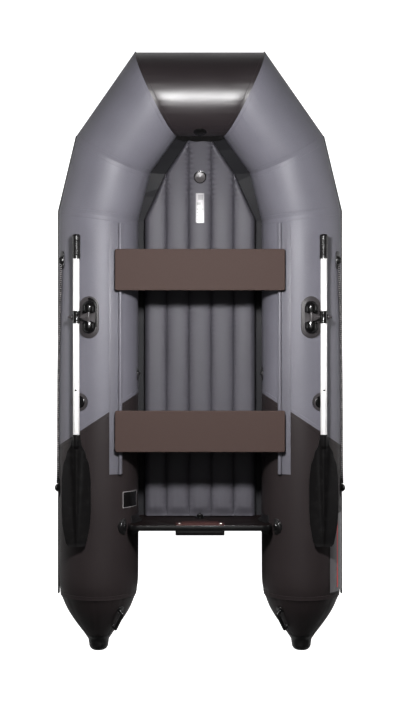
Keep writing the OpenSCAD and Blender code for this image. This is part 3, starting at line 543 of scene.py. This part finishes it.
def makeCones():
    for side, mirrored in (("starboard", False), ("port", True)):
        rows = []
        for i in range(coneLook["steps"] + 1):
            t = i / coneLook["steps"]
            base = tubeRadius + (hull["coneEndRadius"] - tubeRadius) * t
            base += coneLook["belly"] * math.sin(math.pi * t)
            base -= 0.011 * math.exp(-(t * hull["coneLength"] / 0.055) ** 2)
            row = []
            for k in range(96):
                turn = 2 * math.pi * k / 96
                gore = (turn / (2 * math.pi) * coneLook["gores"] + 0.5) % 1 - 0.5
                radius = base - coneLook["goreDip"] * math.exp(-(gore / coneLook["goreWidth"]) ** 2)
                radius += 0.0012 * math.sin(turn * 40) * math.exp(-t / 0.12)
                row.append(conePoint + Vector((math.cos(turn) * radius, -hull["coneLength"] * t,
                                               math.sin(turn) * radius)))
            rows.append(row)
        addTube("sternCone_" + side, "stern_cones", rows, finish["darkTube"], mirrored)

makeCones()
print("tubes made")


# inflatable floor
floorLook = {
    "aftY": -0.890, "foreY": 1.187, "riseY": 0.700, "keelZ": 0.014, "crestHeight": 0.106,
    "foreRise": 0.160, "ribWidth": 0.124, "crown": 0.019, "columnsPerRib": 24, "rowStep": 0.0055,
    "halfWidths": [(0.760, 0.310), (0.998, 0.194), (1.165, 0.071), (1.187, 0.040)],
}

def crestAt(y):
    run = floorLook["foreY"] - floorLook["riseY"]
    rise = floorLook["foreRise"] * (max(0, y - floorLook["riseY"]) / run) ** 2
    return floorLook["keelZ"] + floorLook["crestHeight"] + rise


def floorHalf(y):
    marks = floorLook["halfWidths"]
    if y <= marks[0][0]:
        return marks[0][1]
    for (y0, w0), (y1, w1) in zip(marks, marks[1:]):
        if y <= y1:
            return w0 + (w1 - w0) * (y - y0) / (y1 - y0)
    return marks[-1][1]


def floorHeight(x, y):
    width = floorLook["ribWidth"]
    place = (abs(x) + width / 2) % width / width * 2 - 1        # -1 and 1 in the valleys
    dome = (1 - place * place) ** 0.5
    fromValley = (1 - abs(place)) * width / 2
    endFade = smoothStep(0, 0.055, y - floorLook["aftY"])
    edge = min(1.0, (floorHalf(y) - abs(x)) / 0.030)
    edge = math.sqrt(max(0.0, 1 - (1 - edge) ** 2))
    z = crestAt(y) - floorLook["crown"] + floorLook["crown"] * dome * (0.25 + 0.75 * endFade) * edge
    z -= 0.026 * (1 - edge)
    bowPart = smoothStep(0.80, 0.95, y)
    lean = 1 if x > 0 else -1
    drift = 3 * noise(Vector((x * 9, y * 6, 2)))
    ripple = math.sin(2 * math.pi * (y * 1.0 + lean * place * 0.004) / 0.027 + drift)
    z += ripple * math.exp(-(fromValley / 0.018) ** 2) * (0.0009 + 0.0026 * bowPart) * edge
    stern = math.exp(-(y - floorLook["aftY"]) / 0.07)
    z += 0.0016 * stern * math.sin(2 * math.pi * x / 0.031) * endFade
    return z + 0.0012 * noise(Vector((x * 7, y * 3, 5))) * edge


def makeFloor():
    columns = 5 * floorLook["columnsPerRib"]
    full = 2.5 * floorLook["ribWidth"]
    count = round((floorLook["foreY"] - floorLook["aftY"]) / floorLook["rowStep"])
    rows = []
    for i in range(count + 1):
        y = floorLook["aftY"] + (floorLook["foreY"] - floorLook["aftY"]) * i / count
        half = floorHalf(y)
        xs = [-full + 2 * full * j / columns for j in range(columns + 1)]
        row = []
        for x in xs:
            held = max(-half, min(half, x))
            row.append(Vector((held, y, floorHeight(held, y))))
        drop = 0.040
        row.insert(0, row[0] - Vector((0, 0, drop)))
        row.append(row[-1] - Vector((0, 0, drop)))
        rows.append(row)
    mesh = gridMesh("floorSheet", rows, mergeAt=0.0004)
    addPiece("floorSheet", mesh, "hull", ["floor_top"], finish["floorCloth"])

makeFloor()
print("floor made")


# black sheet with a wavy aft edge, under the bow tube
bowBlackSheet = {"halfWidth": 0.150, "aftY": 1.150, "foreY": 1.205, "z": 0.305, "wave": 0.004}

def makeBowBlackSheet():
    rows = []
    for i in range(9):
        t = i / 8
        row = []
        for k in range(61):
            x = bowBlackSheet["halfWidth"] * (k / 30 - 1)
            ripple = bowBlackSheet["wave"] * noise(Vector((x * 28, 3.0, 0.0))) * (1 - t)
            reach = bowBlackSheet["foreY"] - bowBlackSheet["aftY"]
            y = bowBlackSheet["aftY"] + 0.6 * abs(x) * abs(x) + reach * t + 2 * ripple
            row.append(Vector((x, y, bowBlackSheet["z"] - 0.02 * t + ripple)))
        rows.append(row)
    addPiece("bowBlackSheet", gridMesh("bowBlackSheet", rows), "hull", (), finish["blackRubber"])

makeBowBlackSheet()


# benches
benchLook = {"length": 0.894, "width": 0.218, "thickness": 0.015, "bottom": 0.425, "corner": 0.010,
             "edge": 0.003, "frontY": 0.451, "rearY": -0.399}

def roundedLoop(halfX, halfY, radius, centre, z, arc=6):
    loop = []
    for quarter, (sx, sy) in enumerate(((1, 1), (-1, 1), (-1, -1), (1, -1))):
        for k in range(arc + 1):
            turn = math.pi / 2 * (quarter + k / arc)
            loop.append(Vector((centre[0] + sx * (halfX - radius) + radius * math.cos(turn),
                                centre[1] + sy * (halfY - radius) + radius * math.sin(turn), z)))
    return loop


def makeBench(name, node, body, y):
    edge = benchLook["edge"]
    bottom = benchLook["bottom"]
    top = bottom + benchLook["thickness"]
    levels = [(edge, bottom), (edge * 0.3, bottom + edge * 0.3), (0, bottom + edge),
              (0, top - edge), (edge * 0.3, top - edge * 0.3), (edge, top), (edge * 2, top)]
    rows = [roundedLoop(benchLook["length"] / 2 - inset, benchLook["width"] / 2 - inset,
                        benchLook["corner"], (0, y), z) for inset, z in levels]
    mesh = gridMesh(name, rows, closed=True, caps=True)
    addPiece(name, mesh, body, [node], finish["benchFilm"])

makeBench("frontBenchBoard", "bench_front_board", "bench_front", benchLook["frontY"])
makeBench("rearBenchBoard", "bench_rear_board", "bench_rear", benchLook["rearY"])
print("benches made")


# oars
oarLook = {
    "x": 0.648, "z": 0.455, "gripRadius": 0.0215, "gripStart": 0.507, "gripEnd": 0.635,
    "bladeNeck": -0.426, "bladeEnd": -1.000, "bladeSkin": 0.0026, "ribHeight": 0.013,
}

def bladeHalfAt(t):         # t runs from the neck to the tip
    widths = [(0, 0.020), (0.06, 0.026), (0.16, 0.050), (0.27, 0.068), (0.38, 0.0755), (0.66, 0.0765),
              (0.80, 0.072), (0.92, 0.060), (0.975, 0.052), (1.0, 0.040)]
    for (t0, w0), (t1, w1) in zip(widths, widths[1:]):
        if t <= t1:
            if t1 < 0.3:
                return w0 + (w1 - w0) * smoothStep(t0, t1, t)
            return w0 + (w1 - w0) * (t - t0) / (t1 - t0)
    return widths[-1][1]


def makeBlade(side, sign):
    rows = []
    steps = 72
    across = 28
    length = oarLook["bladeNeck"] - oarLook["bladeEnd"]
    for i in range(steps + 1):
        t = i / steps
        half = bladeHalfAt(t)
        y = oarLook["bladeNeck"] - length * t
        rib = oarLook["ribHeight"] * (1 - t) ** 0.8 + 0.002 * (1 - smoothStep(0.9, 1.0, t))
        ribHalf = 0.019 * (1 - t) + 0.004
        top = []
        bottom = []
        for k in range(across + 1):
            u = -1 + 2 * k / across
            x = u * half
            rim = 0.0016 * math.exp(-((1 - abs(u)) * half / 0.005) ** 2)
            rim += 0.0014 * math.exp(-((1 - t) * length / 0.006) ** 2)
            dish = -0.0045 * (1 - u * u) * math.sin(math.pi * min(1, t * 1.1))
            ridge = rib * math.exp(-(x / ribHalf) ** 2)
            edgeThin = 0.35 + 0.65 * smoothStep(0, 0.12, 1 - abs(u))
            thick = oarLook["bladeSkin"] * edgeThin
            top.append(Vector((sign * oarLook["x"] + x, y, oarLook["z"] + dish + thick + rim + ridge)))
            bottom.append(Vector((sign * oarLook["x"] + x, y, oarLook["z"] + dish - thick - ridge)))
        rows.append(top + bottom[::-1])
    mesh = gridMesh("oarBlade_" + side, rows, closed=True, caps=True)
    body = "oar_" + side
    addPiece("oarBlade_" + side, mesh, body, ["oar_blade_" + side], finish["bladePlastic"])
    profile = [(-0.012, 0.0178), (-0.012, 0.0205), (0.0, 0.0212),
               (0.045, 0.0205), (0.058, 0.0185), (0.064, 0.014)]
    socket = revolve("bladeSocket_" + side, profile,
                     (sign * oarLook["x"], oarLook["bladeNeck"], oarLook["z"]), (0, -1, 0))
    addPiece("bladeSocket_" + side, socket, body, (), finish["bladePlastic"])


def makeGrip(side, sign):
    length = oarLook["gripEnd"] - oarLook["gripStart"]
    radius = oarLook["gripRadius"]
    profile = [(0, 0.0178), (0, radius - 0.0015), (0.0015, radius)]
    for k in range(1, 60):
        s = 0.0015 + (length - 0.012) * k / 60
        wave = 0.0013 * (0.5 - 0.5 * math.cos(2 * math.pi * s / 0.0125)) if 0.018 < s < length - 0.03 else 0
        profile.append((s, radius - wave))
    profile += [(length - 0.009, radius), (length - 0.003, radius - 0.003),
                (length - 0.0005, radius - 0.009), (length, 0.004)]
    mesh = revolve("oarGrip_" + side, profile,
                   (sign * oarLook["x"], oarLook["gripStart"], oarLook["z"]), (0, 1, 0))
    addPiece("oarGrip_" + side, mesh, "oar_" + side, ["oar_grip_" + side],
             finish["blackRubber"])


def makeOar(side, sign):
    makeBlade(side, sign)
    makeGrip(side, sign)
    softened("oarShaft_" + side, "oar_shaft_" + side, "oar_" + side, 0.0002,
             finish["shaftMetal"])
    softened("oarCollar_" + side, "oar_collar_" + side, "oar_" + side, 0.0005,
             finish["blackPlastic"])
    softened("shaftButton_" + side, "oar_button_" + side, "button_" + side, 0.0006,
             finish["blackPlastic"])
    softened("oarlockTee_" + side, "oarlock_tee_" + side, "tee_" + side, 0.0007,
             finish["greyPlastic"])

for side, sign in (("port", -1), ("starboard", 1)):
    makeOar(side, sign)
print("oars made")


# fittings that keep the part's own shape
fittings = [
    ("coneCaps", "cone_caps", "hull", 0.002, "black_rubber", "blackRubber"),
    ("transomBoard", "transom_board", "hull", 0.0015, "transom_wood", "transomPaint"),
    ("transomTrim", "transom_trim", "hull", 0.0015, "trim_plastic", "trimPlastic"),
    ("transomBrackets", "transom_brackets", "hull", 0.0006, "black_rubber", "blackRubber"),
    ("transomHolders", "transom_holders", "hull", 0.0012, "black_rubber", "blackRubber"),
    ("outerMotorPad", "motor_pad_outer", "hull", 0.003, "black_plastic", "blackPlastic"),
    ("innerMotorPad", "motor_pad_inner", "hull", 0.002, "pad_wood", "padWood"),
    ("padBolts", "pad_bolts", "hull", 0.0006, "steel", "steel"),
    ("drainValve", "drain_valve", "hull", 0.0008, "black_plastic", "blackPlastic"),
    ("drainPlug", "drain_plug", "drain_plug", 0.001, "black_plastic", "blackPlastic"),
    ("benchRailPort", "bench_rail_port", "hull", 0.0005, "grey_fabric", "greyTape"),
    ("benchRailStarboard", "bench_rail_starboard", "hull", 0.0005, "grey_fabric", "greyTape"),
    ("frontBenchShoes", "bench_front_shoes", "bench_front", 0.0008, "black_plastic", "blackPlastic"),
    ("rearBenchShoes", "bench_rear_shoes", "bench_rear", 0.0008, "black_plastic", "blackPlastic"),
    ("valveHousings", "valve_housings", "hull", 0.0008, "black_plastic", "blackPlastic"),
    ("oarlockBases", "oarlock_bases", "hull", 0.0012, "black_plastic", "blackPlastic"),
    ("oarlockAxles", "oarlock_axles", "hull", 0.0004, "steel", "steel"),
    ("lineHubs", "grab_line_hubs", "hull", 0.0012, "black_rubber", "blackRubber"),
    ("sternHandles", "stern_handles", "hull", 0.0012, "black_rubber", "blackRubber"),
    ("strapEyes", "strap_eyes", "hull", 0.0006, "black_rubber", "blackRubber"),
]
flushHeight = {"oarlock_bases": 0.0092, "valve_housings": 0.0040, "transom_holders": 0.0030}

for name, node, body, width, slot, material in fittings:
    piece = softened(name, node, body, width, finish[material])
    if node in flushHeight:
        limit = flushHeight[node]
        # flat faces close to the tube get the lighter patch grey: partly their own rubber, partly painted
        # highlight
        twoTone(piece, finish["patchGreyAndHighlight"], lambda p: p.y < hull["forwardY"] and overTube(p) < limit)
for place in ("port", "starboard", "bow", "floor"):
    softened("valveCap_" + place, "valve_cap_" + place, "cap_" + place, 0.0008,
             finish["greyPlastic" if place == "floor" else "blackPlastic"])
    softened("valvePoppet_" + place, "valve_poppet_" + place, "poppet_" + place, 0.0005,
             finish["valvePlastic"])

def finishNode(node, material):
    mesh = cadNodes[node].data
    mesh.materials.clear()
    mesh.materials.append(finish[material])

for node, material in (("bulkheads", "greyTube"), ("floor_webs", "floorCloth"),
                       # bottom skin gets the darkened cloth: painted shade between floor and tubes
                       ("bottom_skin", "bottomClothPaintedShade"),
                       ("keel_guard", "blackRubber"), ("rub_strake", "blackRubber")):
    finishNode(node, material)
print("fittings made")


# plain label, badge and side panel
labelLook = {"halfWidth": 0.023, "aftY": 0.735, "foreY": 0.895, "lift": 0.0012,
             "bars": [(0.860, 0.888, -0.010, 0.018), (0.832, 0.846, -0.018, 0.004),
                      (0.806, 0.813, -0.018, 0.018), (0.788, 0.795, -0.018, 0.012),
                      (0.770, 0.777, -0.018, 0.018), (0.750, 0.757, -0.018, 0.009)],
             "badgeY": (-0.810, -0.723), "badgeTurn": (40.6, 74.0), "badgeRim": 0.004,
             "panelY": (-1.258, -0.842), "panelTurn": (39.0, 78.0),
             "stripeTurn": (55.0, 58.0), "stripeRim": 0.02}

def floorPatch(name, x0, x1, y0, y1, lift, material):
    rows = []
    for i in range(17):
        y = y0 + (y1 - y0) * i / 16
        rows.append([Vector((x, y, floorHeight(x, y) + lift))
                     for x in (x0 + (x1 - x0) * j / 8 for j in range(9))])
    addPiece(name, gridMesh(name, rows), "hull", (), finish[material])


def tubePatch(name, yRange, turnRange, sign, lift, material, slant=0.0):
    rows = []
    for i in range(13):
        y = yRange[0] + (yRange[1] - yRange[0]) * i / 12
        row = []
        for j in range(17):
            turn = math.radians(turnRange[0] + (turnRange[1] - turnRange[0]) * j / 16 + slant * i / 12)
            reach = tubeRadius + lift
            row.append(Vector((sign[0] * (hull["sideX"] + sign[1] * reach * math.sin(turn)), y,
                               tubeRadius + reach * math.cos(turn))))
        rows.append(row)
    addPiece(name, gridMesh(name, rows), "hull", (), finish[material])


def makeLabels():
    look = labelLook
    half = look["halfWidth"]
    floorPatch("floorLabel", -half, half, look["aftY"], look["foreY"], look["lift"], "labelWhite")
    for k, (y0, y1, x0, x1) in enumerate(look["bars"]):
        floorPatch("floorLabelBar_%d" % k, x0, x1, y0, y1, look["lift"] + 0.0006, "labelGrey")
    y0, y1 = look["badgeY"]
    turn0, turn1 = look["badgeTurn"]
    rim = look["badgeRim"]
    tubePatch("badgeEdge", (y0, y1), (turn0, turn1), (-1, -1), 0.0030, "labelWhite")
    tubePatch("badge", (y0 + rim, y1 - rim), (turn0 + 1.3, turn1 - 1.5), (-1, -1), 0.0034,
              "blackPlastic")
    y0, y1 = look["panelY"]
    rim = look["stripeRim"]
    tubePatch("sidePanel", (y0, y1), look["panelTurn"], (1, 1), 0.0030, "panelGrey")
    tubePatch("sideStripe", (y0 + rim, y1 - rim), look["stripeTurn"], (1, 1), 0.0034,
              "panelRed")

makeLabels()
print("labels made")


# floor, light and world
studio = {
    "keyPlace": (0, 0.76, 2.30),
    "keyRadius": 0.12,
    "keyPower": 70,
    "fillHeight": 5.0,
    "fillSize": 2.6,
    "fillPower": 20,
    "sidePlace": (3.2, 0.2, 0.50),
    "sidePower": 32,
    "world": 0.03,
    "floorTone": 0.45,
    "exposure": 0.32,
    "gamma": 0.83,          # deeper shade on the dark fabric
    "floorGlow": 0.97,      # seen only by the camera: keeps the floor near white in the boat's shade
}

def addLight(name, kind, place, power):
    data = bpy.data.lights.new(name, kind)
    data.energy = power
    light = bpy.data.objects.new(name, data)
    light.location = place
    light.rotation_euler = Vector(place).to_track_quat("Z", "Y").to_euler()
    light.visible_camera = False
    scene.collection.objects.link(light)
    return data


def makeKey():      # a large lamp above the bow that does not fade along the boat
    data = addLight("keyLight", "POINT", studio["keyPlace"], studio["keyPower"])
    data.shadow_soft_size = studio["keyRadius"]
    data.use_nodes = True
    tree = data.node_tree
    falloff = addNode(tree, "ShaderNodeLightFalloff", Strength=1.0)
    tree.links.new(falloff.outputs["Constant"], tree.nodes["Emission"].inputs["Strength"])


def makeStudio():
    makeKey()
    fill = addLight("fillLight", "AREA", (0, 0, studio["fillHeight"]), studio["fillPower"])
    fill.shape = "DISK"
    fill.size = studio["fillSize"]
    for sign in (-1, 1):
        x, y, z = studio["sidePlace"]
        side = addLight("sideLight", "AREA", (sign * x, y, z), studio["sidePower"])
        side.size = 1.6
    world = bpy.data.worlds.new("studioWorld")
    world.use_nodes = True
    world.node_tree.nodes["Background"].inputs["Color"].default_value = (1, 1, 1, 1)
    world.node_tree.nodes["Background"].inputs["Strength"].default_value = studio["world"]
    scene.world = world
    makeGround()
    scene.view_settings.view_transform = "Standard"
    scene.view_settings.exposure = studio["exposure"]
    scene.view_settings.gamma = studio["gamma"]


def makeGround():
    pale = bpy.data.materials.new("paleFloor")
    pale.use_nodes = True
    tree = pale.node_tree
    shader = tree.nodes["Principled BSDF"]
    tone = studio["floorTone"]
    shader.inputs["Base Color"].default_value = (tone, tone, tone, 1)
    shader.inputs["Roughness"].default_value = 0.9
    shader.inputs["Emission Color"].default_value = (1, 1, 1, 1)
    seen = addNode(tree, "ShaderNodeLightPath").outputs["Is Camera Ray"]
    tree.links.new(mathNode(tree, "MULTIPLY", seen, studio["floorGlow"]), shader.inputs["Emission Strength"])
    reach = 30
    mesh = bpy.data.meshes.new("studioFloor")
    mesh.from_pydata([(-reach, -reach, -0.001), (reach, -reach, -0.001), (reach, reach, -0.001),
                      (-reach, reach, -0.001)], [], [(0, 1, 2, 3)])
    mesh.materials.append(pale)
    ground = bpy.data.objects.new("studioFloor", mesh)
    scene.collection.objects.link(ground)

makeStudio()
print("studio made")
